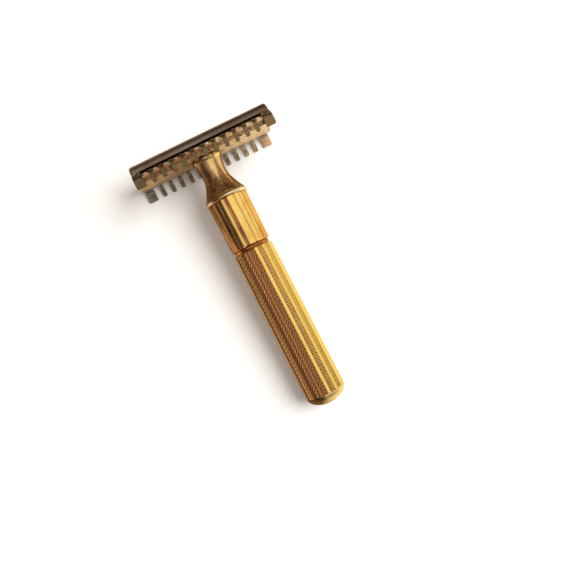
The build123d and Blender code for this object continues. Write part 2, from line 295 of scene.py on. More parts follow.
# ---- Materials ----
class Finish:
    """A metal under construction, with helpers that read in razor axes and millimetres."""

    def __init__(self, name):
        self.material = bpy.data.materials.new(name)
        self.material.use_nodes = True
        self.tree = self.material.node_tree
        self.shader = self.tree.nodes["Principled BSDF"]
        self.shader.inputs["Metallic"].default_value = 1.0
        self.shader.inputs["Specular Tint"].default_value = EDGE_TINT
        coordinate = self.tree.nodes.new("ShaderNodeTexCoord")
        mapping = self.tree.nodes.new("ShaderNodeMapping")
        mapping.inputs["Scale"].default_value = (1 / MM, 1 / MM, 1 / MM)
        mapping.inputs["Rotation"].default_value = TO_RAZOR.to_euler()
        mapping.inputs["Location"].default_value = TO_RAZOR.translation / MM
        self.tree.links.new(coordinate.outputs["Object"], mapping.inputs["Vector"])
        self.place = mapping.outputs["Vector"]

    def noise(self, scale, detail, stretch=(1, 1, 1), offset=0.0, distortion=0.0):
        """A noise from 0 to 1; scale is in features per millimetre."""
        mapping = self.tree.nodes.new("ShaderNodeMapping")
        mapping.inputs["Scale"].default_value = stretch
        mapping.inputs["Location"].default_value = (offset, 0.7 * offset, 1.3 * offset)
        self.tree.links.new(self.place, mapping.inputs["Vector"])
        node = self.tree.nodes.new("ShaderNodeTexNoise")
        node.inputs["Scale"].default_value = scale
        node.inputs["Detail"].default_value = detail
        node.inputs["Roughness"].default_value = 0.55
        node.inputs["Distortion"].default_value = distortion
        self.tree.links.new(mapping.outputs["Vector"], node.inputs["Vector"])
        return Field(self.tree, node.outputs["Fac"])

    def attribute(self, name):
        """An attribute that the piece's own mesh carries."""
        node = self.tree.nodes.new("ShaderNodeAttribute")
        node.attribute_name = name
        return Field(self.tree, node.outputs["Fac"])

    def parts(self):
        """Places along the head, across it and up the handle, in millimetres."""
        return split_xyz(self.tree, self.place)

    def turn(self):
        """The angle round the handle, from the front of the head towards its right."""
        x, y, _ = self.parts()
        return x.math("ARCTAN2", y * -1.0)

    def mix(self, share, first, second):
        """A colour between two, by a field."""
        node = self.tree.nodes.new("ShaderNodeMix")
        node.data_type = "RGBA"
        self.tree.links.new(share.socket, node.inputs["Factor"])
        for socket, value in ((node.inputs[6], first), (node.inputs[7], second)):
            if isinstance(value, bpy.types.NodeSocket):
                self.tree.links.new(value, socket)
            else:
                socket.default_value = tuple(value)
        return node.outputs[2]

    def colour(self, socket):
        """Sets the colour of the metal."""
        self.tree.links.new(socket, self.shader.inputs["Base Color"])

    def roughness(self, field):
        """Sets the roughness of the metal."""
        self.tree.links.new(field.socket, self.shader.inputs["Roughness"])

    def bump(self, field, height_mm, strength):
        """Relief of that height from a field."""
        node = self.tree.nodes.new("ShaderNodeBump")
        node.inputs["Strength"].default_value = strength
        node.inputs["Distance"].default_value = height_mm * MM
        self.tree.links.new(field.socket, node.inputs["Height"])
        self.tree.links.new(node.outputs["Normal"], self.shader.inputs["Normal"])


def lit_and_worn_side(finish):
    """1 on the side of the handle toward the lamp, falling to -1 on the other: wear and painted light on that
    side, painted shade on the other.
    """
    return (finish.turn() - LIT_AND_WORN_SIDE).math("COSINE")


def flute_wave(finish):
    """1 on the crest of each rib round the handle and -1 in the hollow between."""
    sizes = bpy.context.scene.razor_sizes
    turned = (finish.turn() - sizes.flute_phase) * sizes.flute_count
    return turned.math("COSINE")


def line_at(finish, turn, width):
    """1 on a line up the handle at that turn, fading to 0 between two distances from it."""
    return (finish.turn() - turn).math("ABSOLUTE").falling(*width)


def barrel_finish():
    """Gold reeds, bright on the side toward the lamp and coppery brown in the creases and on the other side:
    painted light and shade on the sides as well as wear, and tarnish in the creases.
    """
    colours = bpy.context.scene.razor_colours
    finish = Finish("barrel_gold")
    side = lit_and_worn_side(finish)
    streak = finish.noise(0.9, 4, stretch=(1, 1, 0.10), offset=3.0)
    patch = finish.noise(0.30, 4, stretch=(1, 1, 0.5), offset=11.0)
    # Brighter toward the lamp, painted light as well as wear; brown in the creases from tarnish and on the far
    # side from painted shade.
    bare_and_lit = flute_wave(finish) * 0.6 + side * 1.35 + (streak - 0.5) * 0.6 + (patch - 0.5) * 0.4
    warm = side.rising(0.78, 1.0) * 0.5 + patch.rising(0.45, 0.7) * 0.5
    gold = finish.mix(warm, colours.bright_gold, colours.deep_gold)
    brown = finish.mix(patch.rising(0.35, 0.65) * 0.75, colours.red_brown, colours.dark_brown)
    share = bare_and_lit.rising(0.0, 0.65)
    finish.colour(finish.mix(share, brown, gold))
    finish.roughness(share * -0.08 + streak * 0.14 + 0.25)
    finish.bump(finish.noise(2.6, 4, stretch=(1, 1, 0.2), offset=5.0), 0.010, 0.5)
    return finish.material


def grip_finish():
    """Ribs bright on the side toward the lamp and dark on the other, painted light and shade as well as wear, over
    a knurl that keeps coppery tarnish in its hollows, with a painted highlight line and a painted dark reflection
    line up the grip.
    """
    colours = bpy.context.scene.razor_colours
    finish = Finish("grip_gold")
    side = lit_and_worn_side(finish)
    stand = finish.attribute("relief")
    patch = finish.noise(0.22, 4, stretch=(1, 1, 0.5), offset=21.0)
    speck = finish.noise(1.1, 3, offset=9.0)
    rib = flute_wave(finish).rising(-0.35, 0.30)
    # Ribs and strips brighter toward the lamp: wear and painted light.
    lit_rubbed_rib = (side + (patch - 0.5) * 0.4).rising(0.20, 0.55)
    lit_rubbed_strip = (side + (patch - 0.5) * 0.5 + (speck - 0.5) * 0.5).rising(0.50, 1.00)
    strip = finish.mix(lit_rubbed_strip, colours.copper_gold, colours.bright_gold)
    top = finish.mix(lit_rubbed_rib, colours.red_brown, colours.bright_gold)
    # Painted shade: ribs on the side away from the lamp turn dark brown.
    top = finish.mix(side.falling(-0.62, -0.45), top, colours.dark_brown)
    colour = finish.mix(rib, strip, top)
    sunk = stand * -1.0 + 0.8 - lit_rubbed_strip * 0.4
    hollow = sunk.rising(0.0, 0.8) * (rib * -0.46 + 0.92)
    tarnish = finish.mix(lit_rubbed_strip, colours.hollow_brown, colours.hollow_gold)
    colour = finish.mix(hollow, colour, tarnish)
    # Painted highlight: a thin bright line up the grip.
    highlight_line = line_at(finish, HIGHLIGHT_LINE, HIGHLIGHT_LINE_WIDTH)
    colour = finish.mix(highlight_line, colour, colours.highlight_gold)
    # Painted dark reflection: a dark line up the grip.
    dark_reflection = line_at(finish, DARK_REFLECTION, DARK_REFLECTION_WIDTH)
    colour = finish.mix(dark_reflection * 0.8, colour, colours.dark_brown)
    finish.colour(colour)
    finish.roughness(speck * 0.14 + rib * -0.12 + 0.30)
    return finish.material


def plug_finish():
    """Smooth gold, bright on the side toward the lamp and dark brown on the other: painted light and shade as well
    as wear.
    """
    colours = bpy.context.scene.razor_colours
    finish = Finish("plug_gold")
    patch = finish.noise(0.35, 4, offset=31.0)
    x, y, _ = finish.parts()
    # Bright toward the lamp and dark brown away from it: painted light and shade as well as wear.
    towards = x * math.sin(LIT_AND_WORN_SIDE) - y * math.cos(LIT_AND_WORN_SIDE) + (patch - 0.5) * 6.0
    finish.colour(finish.mix(towards.rising(-1.0, 3.5), colours.dark_brown, colours.highlight_gold))
    finish.roughness(patch * 0.1 + 0.40)
    finish.bump(finish.noise(3.0, 3, offset=2.0), 0.008, 0.4)
    return finish.material


def ring_finish():
    """Pale plate on the proud ring, brightest on the side toward the lamp, a painted highlight as well as wear,
    and coppery on the other.
    """
    colours = bpy.context.scene.razor_colours
    finish = Finish("ring_gold")
    patch = finish.noise(0.5, 3, offset=41.0)
    side = lit_and_worn_side(finish) + (patch - 0.5) * 0.5
    # Pale on the side toward the lamp: a painted highlight as well as wear.
    colour = finish.mix(side.rising(0.30, 0.55), colours.neck_brown, colours.pale_gold)
    finish.colour(finish.mix(side.falling(-0.55, -0.30), colour, colours.comb_copper))
    finish.roughness(patch * 0.2 + 0.12)
    return finish.material


def collar_finish():
    """The reddish collar at the turning joint."""
    colours = bpy.context.scene.razor_colours
    finish = Finish("collar_brass")
    patch = finish.noise(0.6, 3, offset=51.0)
    finish.colour(finish.mix(patch.rising(0.35, 0.7), colours.deep_gold, colours.red_brown))
    finish.roughness(patch * 0.2 + 0.2)
    return finish.material


def neck_finish():
    """Brown tarnish, mottled with gold, with two painted highlights up the front: bright streaks mixed with worn
    mottling.
    """
    colours = bpy.context.scene.razor_colours
    finish = Finish("neck_brass")
    _, _, height = finish.parts()
    turn = finish.turn()
    patch = finish.noise(0.45, 4, stretch=(1, 1, 0.45), offset=61.0, distortion=0.4)
    speck = finish.noise(1.6, 4, stretch=(1, 1, 0.35), offset=7.0)
    streak = finish.noise(1.1, 3, stretch=(1, 1, 0.12), offset=47.0)
    # Two painted highlights, bright streaks up the front, mixed with worn mottling.
    first = (turn - NECK_HIGHLIGHTS[0]).math("ABSOLUTE") * -2.6
    second = (turn - NECK_HIGHLIGHTS[1]).math("ABSOLUTE") * -2.8
    worn = first.math("MAXIMUM", second) + (height - NECK_MIDDLE) * 0.09
    worn = worn + patch * 0.8 + (speck - 0.5) * 1.5 + (streak - 0.5) * 0.8
    colour = finish.mix(patch.rising(0.35, 0.62), colours.neck_brown, colours.neck_dark)
    finish.colour(finish.mix(worn.rising(-0.25, 0.35), colour, colours.highlight_gold))
    finish.roughness(patch * 0.2 + speck * 0.15 + 0.24)
    finish.bump(speck, 0.02, 0.6)
    return finish.material


def comb_finish():
    """Dull olive front teeth, grey rear teeth and a streaky golden underside with copper in it, all brighter
    towards the right end of the head as painted light, and a painted highlight spot on a rear end tooth.
    """
    colours = bpy.context.scene.razor_colours
    finish = Finish("comb_brass")
    along, across, height = finish.parts()
    patch = finish.noise(0.55, 4, offset=71.0)
    blotch = finish.noise(0.8, 3, offset=41.0, distortion=0.5)
    speck = finish.noise(1.6, 4, offset=13.0)
    streak = finish.noise(1.2, 4, stretch=(0.2, 1, 1), offset=29.0)
    # Brighter towards the right end of the head, painted light, with wear in patches.
    wear_and_light = (along * 0.03 + (patch - 0.5) * 1.4).rising(-0.6, 0.9)

    bright = (streak + wear_and_light * 0.35 - 0.17).rising(0.36, 0.62)
    gold = finish.mix(bright, colours.comb_copper, colours.comb_gold)
    gold = finish.mix(blotch.rising(0.56, 0.64) * 0.8, gold, colours.pale_gold)
    gold = finish.mix(blotch.falling(0.36, 0.42) * 0.8, gold, colours.dark_brown)

    rear = across.rising(0.0, 1.0)
    dull = finish.mix(wear_and_light, colours.olive, colours.comb_tan)
    pale = (wear_and_light + (blotch - 0.5) * 2.0).rising(0.2, 1.0)
    grey = finish.mix(pale, colours.comb_grey, colours.comb_pale)
    teeth = finish.mix(rear, dull, grey)
    tips, _ = node_span("comb_plate")
    # Painted highlight: a round copper spot on a rear end tooth.
    aside = along - END_TOOTH_HIGHLIGHT[0]
    above = height - (tips + END_TOOTH_HIGHLIGHT[1])
    highlight_spot = (aside * aside + above * above).falling(*END_TOOTH_HIGHLIGHT_FADE) * rear
    teeth = finish.mix(highlight_spot * 0.8, teeth, colours.copper_gold)

    ragged = patch - 0.5
    shine = (across.math("ABSOLUTE") * -1.0 + UNDERSIDE_REACH + ragged * 2.0).rising(-0.6, 0.8)
    shine = shine * ((across + ragged * 3.0).rising(1.5, 5.0) * -0.75 + 1.0)
    colour = finish.mix(shine, teeth, gold)
    bloom = (speck + patch).rising(1.12, 1.30) * 0.7
    finish.colour(finish.mix(bloom, colour, colours.verdigris))
    finish.roughness(patch * 0.25 + speck * 0.2 + 0.15)
    finish.bump(speck, 0.02, 0.6)
    return finish.material


def door_finish():
    """Dull grey-brown tarnish with a faint sheen, darker towards one end of the head."""
    colours = bpy.context.scene.razor_colours
    finish = Finish("door_brass")
    along, _, _ = finish.parts()
    patch = finish.noise(0.3, 4, stretch=(0.5, 1, 1), offset=81.0)
    speck = finish.noise(1.8, 4, stretch=(0.35, 1, 1), offset=17.0)
    dark = (patch + along * 0.008).rising(0.3, 0.7)
    colour = finish.mix(dark, colours.door_brown, colours.door_dark)
    finish.colour(finish.mix((speck + patch).rising(1.0, 1.3) * 0.7, colour, colours.neck_dark))
    finish.roughness(patch * 0.2 + speck * 0.2 + 0.2)
    finish.bump(speck, 0.012, 0.5)
    return finish.material


def plain_finish(name, base, dull, roughness):
    """Machined metal with faint turning marks, for the works inside."""
    finish = Finish(name)
    patch = finish.noise(0.5, 3, offset=91.0)
    rings = finish.noise(6.0, 2, stretch=(0.1, 0.1, 1.0), offset=1.0)
    finish.colour(finish.mix(patch.rising(0.35, 0.7), base, dull))
    finish.roughness(rings * 0.15 + (roughness - 0.05))
    finish.bump(rings, 0.006, 0.4)
    return finish.material


# ---- Making meshes ----
# Points nearer than the first, in millimetres, are one point, and faces that meet flatter
# than the second are one face. Edges sharper than the third are rounded.
SAME_POINT = 0.002
SAME_FACE = math.radians(0.6)
SHARP_EDGE = math.radians(25)


def mesh_object(mesh):
    """An object for a mesh drawn in razor axes and millimetres, set in its place in the frame."""
    mesh.transform(FROM_RAZOR @ Matrix.Scale(MM, 4))
    made = bpy.data.objects.new(mesh.name, mesh)
    bpy.context.scene.collection.objects.link(made)
    return made


def finish_piece(made, material, body, node):
    """Gives a finished piece its material and its body, and hides the CAD node that it stands for."""
    made.data.materials.clear()
    made.data.materials.append(material)
    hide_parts(node)
    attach(made, body)


def outward(mesh):
    """Makes a closed mesh's faces point outwards."""
    shape = bmesh.new()
    shape.from_mesh(mesh)
    bmesh.ops.recalc_face_normals(shape, faces=shape.faces)
    shape.to_mesh(mesh)
    shape.free()


def shade(mesh, sharp_deg):
    """Smooth shading, with edges sharper than that angle kept."""
    mesh.shade_smooth()
    mesh.set_sharp_from_angle(angle=math.radians(sharp_deg))


def turned_mesh(name, outline, segments=160, sharp_deg=28):
    """A closed outline of (radius, height) points turned about the handle's axis."""
    shape = bmesh.new()
    rings = []
    for radius, height in outline:
        if radius < 1e-6:
            rings.append([shape.verts.new((0, 0, height))])
            continue
        ring = []
        for step in range(segments):
            angle = 2 * math.pi * step / segments
            place = (radius * math.cos(angle), radius * math.sin(angle), height)
            ring.append(shape.verts.new(place))
        rings.append(ring)
    for first, second in zip(rings, rings[1:] + rings[:1]):
        for step in range(segments):
            after = (step + 1) % segments
            corners = [first[step % len(first)], first[after % len(first)]]
            corners += [second[after % len(second)], second[step % len(second)]]
            corners = list(dict.fromkeys(corners))
            if len(corners) > 2:
                shape.faces.new(corners)
    bmesh.ops.recalc_face_normals(shape, faces=shape.faces)
    mesh = bpy.data.meshes.new(name)
    shape.to_mesh(mesh)
    shape.free()
    shade(mesh, sharp_deg)
    return mesh


def arc(centre, reach, start_deg, end_deg, steps):
    """Points of a round or oval arc in the (radius, height) plane."""
    points = []
    for step in range(steps + 1):
        angle = math.radians(start_deg + (end_deg - start_deg) * step / steps)
        across = centre[0] + reach[0] * math.cos(angle)
        points.append((across, centre[1] + reach[1] * math.sin(angle)))
    return points


def smooth_through(points, steps=10):
    """A smooth run through (radius, height) points."""
    padded = [points[0], *points, points[-1]]
    run = []
    for group in zip(padded, padded[1:], padded[2:], padded[3:]):
        for step in range(steps):
            t = step / steps
            weights = (
                (-t + 2 * t**2 - t**3) / 2,
                (2 - 5 * t**2 + 3 * t**3) / 2,
                (t + 4 * t**2 - 3 * t**3) / 2,
                (-(t**2) + t**3) / 2,
            )
            run.append(tuple(sum(w * p[i] for w, p in zip(weights, group)) for i in (0, 1)))
    run.append(points[-1])
    return run


def settle(made):
    """Turns an object's modifiers into its plain mesh."""
    graph = bpy.context.evaluated_depsgraph_get()
    result = bpy.data.meshes.new_from_object(made.evaluated_get(graph))
    old = made.data
    made.modifiers.clear()
    made.data = result
    result.name = made.name
    bpy.data.meshes.remove(old)


def softened_copy(name, node, edge):
    """A copy of a CAD node as a clean mesh, with its edges rounded by that many metres."""
    shape = bmesh.new()
    shape.from_mesh(frame["nodes"][node].data)
    bmesh.ops.remove_doubles(shape, verts=shape.verts, dist=SAME_POINT * MM)
    bmesh.ops.dissolve_limit(
        shape, angle_limit=SAME_FACE, verts=shape.verts, edges=shape.edges, delimit={"NORMAL"}
    )
    mesh = bpy.data.meshes.new(name)
    shape.to_mesh(mesh)
    shape.free()
    made = bpy.data.objects.new(name, mesh)
    bpy.context.scene.collection.objects.link(made)
    bevel = made.modifiers.new("Edges", "BEVEL")
    bevel.width = edge
    bevel.segments = 2
    bevel.limit_method = "ANGLE"
    bevel.angle_limit = SHARP_EDGE
    bevel.harden_normals = True
    settle(made)
    return made


# ---- Geometry Nodes for the handle ----
SLEEVE_INPUTS = [
    ("Ribs", "NodeSocketInt", 14),
    ("Phase", "NodeSocketFloat", 0.0),
    ("Rows", "NodeSocketInt", 10),
    ("Top", "NodeSocketFloat", 0.0),
    ("End", "NodeSocketFloat", -10.0),
    ("Top Radius", "NodeSocketFloat", 6.0),
    ("End Radius", "NodeSocketFloat", 6.0),
    ("Bore", "NodeSocketFloat", 4.0),
    ("Edge", "NodeSocketFloat", 0.1),
    ("Material", "NodeSocketMaterial", None),
]
REED_INPUTS = [("Reed Radius", "NodeSocketFloat", 1.5)]
KNURL_INPUTS = [
    ("Rib Width", "NodeSocketFloat", 1.0),
    ("Rib Height", "NodeSocketFloat", 0.3),
    ("Knurl Depth", "NodeSocketFloat", 0.2),
]

# Columns of mesh for one reed, and for one rib alone and with the knurled strip beside it.
REED_COLUMNS = 16
RIB_COLUMNS = 6
KNURL_COLUMNS = 10

# A sleeve's rows past each end of its outside: the face's edge, the bore's edge and the
# bore's middle, where the two ends meet.
END_ROWS = 3

# The knurl's diamonds are split along one diagonal left of the first place across the handle,
# along the other right of the second, and along the shorter between them, in millimetres.
STROKES_LEFT_OF = -2.0
STROKES_RIGHT_OF = 0.6


def sleeve_tree(name, extra_inputs, outer_rule, columns_per_rib):
    """A tree that makes a closed sleeve whose outside follows a rule of rib, place and row.

    The rule also says how high each point stands, from 0 to 1, kept as the "relief" attribute.
    """
    tree = bpy.data.node_groups.new(name, "GeometryNodeTree")
    tree.is_modifier = True
    tree.interface.new_socket(
        name="Geometry", in_out="OUTPUT", socket_type="NodeSocketGeometry"
    )
    for label, kind, default in SLEEVE_INPUTS + extra_inputs:
        socket = tree.interface.new_socket(name=label, in_out="INPUT", socket_type=kind)
        if default is not None:
            socket.default_value = default
    group_in = tree.nodes.new("NodeGroupInput")
    given = {s.name: Field(tree, s) for s in group_in.outputs if s.name}

    grid = tree.nodes.new("GeometryNodeMeshGrid")
    columns = given["Ribs"] * columns_per_rib
    rows = given["Rows"] + 2.0 * END_ROWS
    tree.links.new((columns + 1.0).socket, grid.inputs["Vertices X"])
    tree.links.new((rows + 1.0).socket, grid.inputs["Vertices Y"])
    position = tree.nodes.new("GeometryNodeInputPosition")
    flat_x, flat_y, _ = split_xyz(tree, position.outputs[0])
    column = ((flat_x + 0.5) * columns).math("ROUND")
    row = ((flat_y + 0.5) * rows).math("ROUND")

    inside = ((row - END_ROWS) / given["Rows"]).math("MAXIMUM", 0.0).math("MINIMUM", 1.0)
    from_end = rows * 0.5 - (row - rows * 0.5).math("ABSOLUTE")
    is_middle = from_end.math("LESS_THAN", 0.5)
    is_bore = from_end.math("LESS_THAN", 1.5)
    is_face = from_end.math("LESS_THAN", 2.5)
    is_rim = from_end.math("LESS_THAN", 3.5) - is_face
    sector = (column / columns_per_rib).math("FLOOR")
    step = column - sector * columns_per_rib
    angle, radius, relief = outer_rule(given, sector, step, inside, row)
    radius = radius - given["Edge"] * is_face
    radius = radius + (given["Bore"] - radius) * is_bore
    height = given["Top"] + (given["End"] - given["Top"]) * inside
    height = height + ((given["Top"] + given["End"]) * 0.5 - height) * is_middle
    height = height + is_rim * given["Edge"] * (inside - 0.5).math("SIGN")

    marked = tree.nodes.new("GeometryNodeStoreNamedAttribute")
    marked.data_type = "FLOAT"
    marked.domain = "POINT"
    marked.inputs["Name"].default_value = "relief"
    tree.links.new(relief.socket, marked.inputs["Value"])
    tree.links.new(grid.outputs["Mesh"], marked.inputs["Geometry"])
    placed = tree.nodes.new("GeometryNodeSetPosition")
    tree.links.new(marked.outputs[0], placed.inputs["Geometry"])
    x = radius * angle.math("SINE")
    y = radius * angle.math("COSINE") * -1.0
    tree.links.new(join_xyz(tree, x, y, height), placed.inputs["Position"])
    merged = tree.nodes.new("GeometryNodeMergeByDistance")
    merged.inputs["Distance"].default_value = SAME_POINT
    tree.links.new(placed.outputs[0], merged.inputs[0])

    across = split_xyz(tree, position.outputs[0])[0]
    shape = merged.outputs[0]
    for side, diagonal in (
        (across.math("LESS_THAN", STROKES_LEFT_OF), "FIXED_ALTERNATE"),
        (across.math("GREATER_THAN", STROKES_RIGHT_OF), "FIXED"),
        (None, "SHORTEST_DIAGONAL"),
    ):
        split = tree.nodes.new("GeometryNodeTriangulate")
        split.quad_method = diagonal
        tree.links.new(shape, split.inputs["Mesh"])
        if side is not None:
            tree.links.new(side.socket, split.inputs["Selection"])
        shape = split.outputs[0]
    realized = tree.nodes.new("GeometryNodeRealizeInstances")
    tree.links.new(shape, realized.inputs[0])
    coated = tree.nodes.new("GeometryNodeSetMaterial")
    tree.links.new(realized.outputs[0], coated.inputs[0])
    tree.links.new(group_in.outputs["Material"], coated.inputs["Material"])
    group_out = tree.nodes.new("NodeGroupOutput")
    tree.links.new(coated.outputs[0], group_out.inputs[0])
    return tree


def rib_pitch(given):
    """The turn from one rib to the next."""
    return constant(given["Phase"].tree, 2 * math.pi) / given["Ribs"]


def crest_radius(given, inside):
    """The radius over the ribs, by the place down the sleeve from 0 to 1."""
    return given["Top Radius"] + (given["End Radius"] - given["Top Radius"]) * inside


def reed_rule(given, sector, step, inside, row):
    """Round reeds side by side, each an arc of one radius."""
    pitch = rib_pitch(given)
    off = (step / REED_COLUMNS - 0.5) * pitch
    middle = crest_radius(given, inside) - given["Reed Radius"]
    aside = middle * off.math("SINE")
    reach = given["Reed Radius"].math("POWER", 2.0) - aside.math("POWER", 2.0)
    radius = middle * off.math("COSINE") + reach.math("SQRT")
    angle = given["Phase"] + sector * pitch + off
    relief = (off / pitch * (2 * math.pi)).math("COSINE") * 0.5 + 0.5
    return angle, radius, relief


def knurl_rule(given, sector, step, inside, row):
    """A flat-topped rib, then a strip of diamonds made by points that stand in turn."""
    pitch = rib_pitch(given)
    crest = crest_radius(given, inside)
    half_rib = given["Rib Width"] * 0.5 / crest
    on_rib = step.math("LESS_THAN", RIB_COLUMNS + 0.5)
    share = step / (RIB_COLUMNS / 2) - 1.0
    rib_off = half_rib * (share * (math.pi / 2)).math("SINE")
    strip_share = (step - RIB_COLUMNS) / (KNURL_COLUMNS - RIB_COLUMNS)
    strip_off = half_rib + (pitch - half_rib * 2.0) * strip_share
    off = strip_off + (rib_off - strip_off) * on_rib
    parity = (step + row).math("MODULO", 2.0)
    diamonds = crest - given["Rib Height"] + given["Knurl Depth"] * parity
    flat = share.math("ABSOLUTE").math("POWER", 2.5) * -1.0 + 1.0
    rib = diamonds + (crest - diamonds) * flat
    radius = diamonds + (rib - diamonds) * on_rib
    angle = given["Phase"] + sector * pitch + off
    relief = parity * 0.8 + (flat - parity * 0.8) * on_rib
    return angle, radius, relief


def run_tree(name, tree, values, sharp_deg):
    """The closed plain mesh that a tree makes with these input values."""
    holder = bpy.data.objects.new(name, bpy.data.meshes.new(name))
    bpy.context.scene.collection.objects.link(holder)
    modifier = holder.modifiers.new(name, "NODES")
    modifier.node_group = tree
    for item in tree.interface.items_tree:
        if item.in_out == "INPUT":
            modifier[item.identifier] = values[item.name]
    graph = bpy.context.evaluated_depsgraph_get()
    mesh = bpy.data.meshes.new_from_object(holder.evaluated_get(graph))
    empty = holder.data
    bpy.data.objects.remove(holder)
    bpy.data.meshes.remove(empty)
    mesh.name = name
    outward(mesh)
    shade(mesh, sharp_deg)
    return mesh


# ---- Sizes of the turned pieces, in millimetres ----
CORE_RADIUS = 3.2
GRIP_BORE_RADIUS = 4.6
CHANNEL_DEPTH = 1.8
PLUG_DOME = 3.5
BARREL_EDGE = 0.2
GRIP_EDGE = 0.12
BARREL_ROWS = 12

# A tapered piece's radius at an end is read over this much of its length.
END_BAND = 0.5

# The neck's outline from the plate down: the flange's middle radius and roundness, then
# (radius, distance under the plate). Then from its foot up: (radius, distance over the foot),
# and the lip's middle radius and roundness.
NECK_FLANGE = (3.95, 0.7)
NECK_WAIST = ((4.1, 1.6), (3.78, 4.4), (3.92, 6.8))
NECK_FLARE = ((4.26, 4.6), (4.85, 3.1), (5.38, 1.9), (5.95, 0.95))
NECK_FOOT = (6.02, 0.62)
NECK_LIP = (6.1, 0.26)

# How far the ring's bead stands out, as a share of half its height.
RING_BEAD = 0.75
COLLAR_BEAD = 0.4
COLLAR_GROOVE = 0.39


def neck_outline():
    """The trumpet neck, from the plate's channel down to the ring."""
    _, foot = node_span("neck_ring")
    top = node_span("comb_plate")[1] - CHANNEL_DEPTH
    flange_middle, flange_round = NECK_FLANGE
    lip_middle, lip_round = NECK_LIP
    flange = arc((flange_middle, top - flange_round), (flange_round, flange_round), 90, -60, 8)
    waist = [(radius, top - drop) for radius, drop in NECK_WAIST]
    waist += [(radius, foot + rise) for radius, rise in NECK_FLARE]
    lip = arc((lip_middle, foot + lip_round), (lip_round, lip_round), 90, -90, 6)
    foot_edge = (NECK_FOOT[0], foot + NECK_FOOT[1])
    return [(CORE_RADIUS, top), *flange, *smooth_through(waist), foot_edge, *lip,
            (CORE_RADIUS, foot)]


def ring_outline():
    """The proud ring with its full round bead."""
    low, high = node_span("neck_ring")
    half = (high - low) / 2
    reach = half * RING_BEAD
    bead = arc((node_radius("neck_ring") - reach, low + half), (reach, half), 90, -90, 14)
    return [(CORE_RADIUS, high), *bead, (CORE_RADIUS, low)]


def collar_outline():
    """The collar with one bead between two grooves."""
    low, high = node_span("joint_collar")
    radius = node_radius("joint_collar")
    groove = radius - COLLAR_GROOVE
    middle = (radius - COLLAR_BEAD, (low + high) / 2)
    bead = arc(middle, (COLLAR_BEAD, COLLAR_BEAD), 80, -80, 10)
    return [(CORE_RADIUS, high), (groove, high), *bead, (groove, low), (CORE_RADIUS, low)]


# ---- Operators, one for each group of pieces ----
class RAZOR_OT_comb(bpy.types.Operator):
    """Dress the comb plate"""

    bl_idname = "razor.comb"
    bl_label = "Comb plate"

    def execute(self, context):
        edge = context.scene.razor_sizes.sheet_edge
        made = softened_copy("comb_plate_dressed", "comb_plate", edge)
        finish_piece(made, comb_finish(), "head", "comb_plate")
        return {"FINISHED"}


class RAZOR_OT_doors(bpy.types.Operator):
    """Dress the two doors"""

    bl_idname = "razor.doors"
    bl_label = "Doors"

    def execute(self, context):
        edge = context.scene.razor_sizes.sheet_edge
        material = door_finish()
        for door in ("front_door", "rear_door"):
            made = softened_copy(door + "_dressed", door, edge)
            finish_piece(made, material, door, door)
        return {"FINISHED"}


class RAZOR_OT_neck(bpy.types.Operator):
    """Turn the trumpet neck, the ring under it and the joint collar"""

    bl_idname = "razor.neck"
    bl_label = "Neck, ring and collar"

    def execute(self, context):
        neck = mesh_object(turned_mesh("neck_dressed", neck_outline(), sharp_deg=40))
        finish_piece(neck, neck_finish(), "head", "neck")
        ring = mesh_object(turned_mesh("neck_ring_dressed", ring_outline()))
        finish_piece(ring, ring_finish(), "head", "neck_ring")
        collar = mesh_object(turned_mesh("joint_collar_dressed", collar_outline()))
        finish_piece(collar, collar_finish(), "head", "joint_collar")
        return {"FINISHED"}


class RAZOR_OT_barrel(bpy.types.Operator):
    """Make the reeded barrel with Geometry Nodes"""

    bl_idname = "razor.barrel"
    bl_label = "Reeded barrel"

    def execute(self, context):
        sizes = context.scene.razor_sizes
        low, high = node_span("barrel")
        material = barrel_finish()
        tree = sleeve_tree("Reeded sleeve", REED_INPUTS, reed_rule, REED_COLUMNS)
        mesh = run_tree("barrel_dressed", tree, {
            "Ribs": sizes.flute_count,
            "Phase": sizes.flute_phase,
            "Rows": BARREL_ROWS,
            "Top": high,
            "End": low,
            "Top Radius": node_radius("barrel", low=high - END_BAND),
            "End Radius": node_radius("barrel", high=low + END_BAND),
            "Bore": CORE_RADIUS,
            "Edge": BARREL_EDGE,
            "Reed Radius": sizes.reed_radius / MM,
            "Material": material,
        }, sharp_deg=30)
        finish_piece(mesh_object(mesh), material, "head", "barrel")
        return {"FINISHED"}


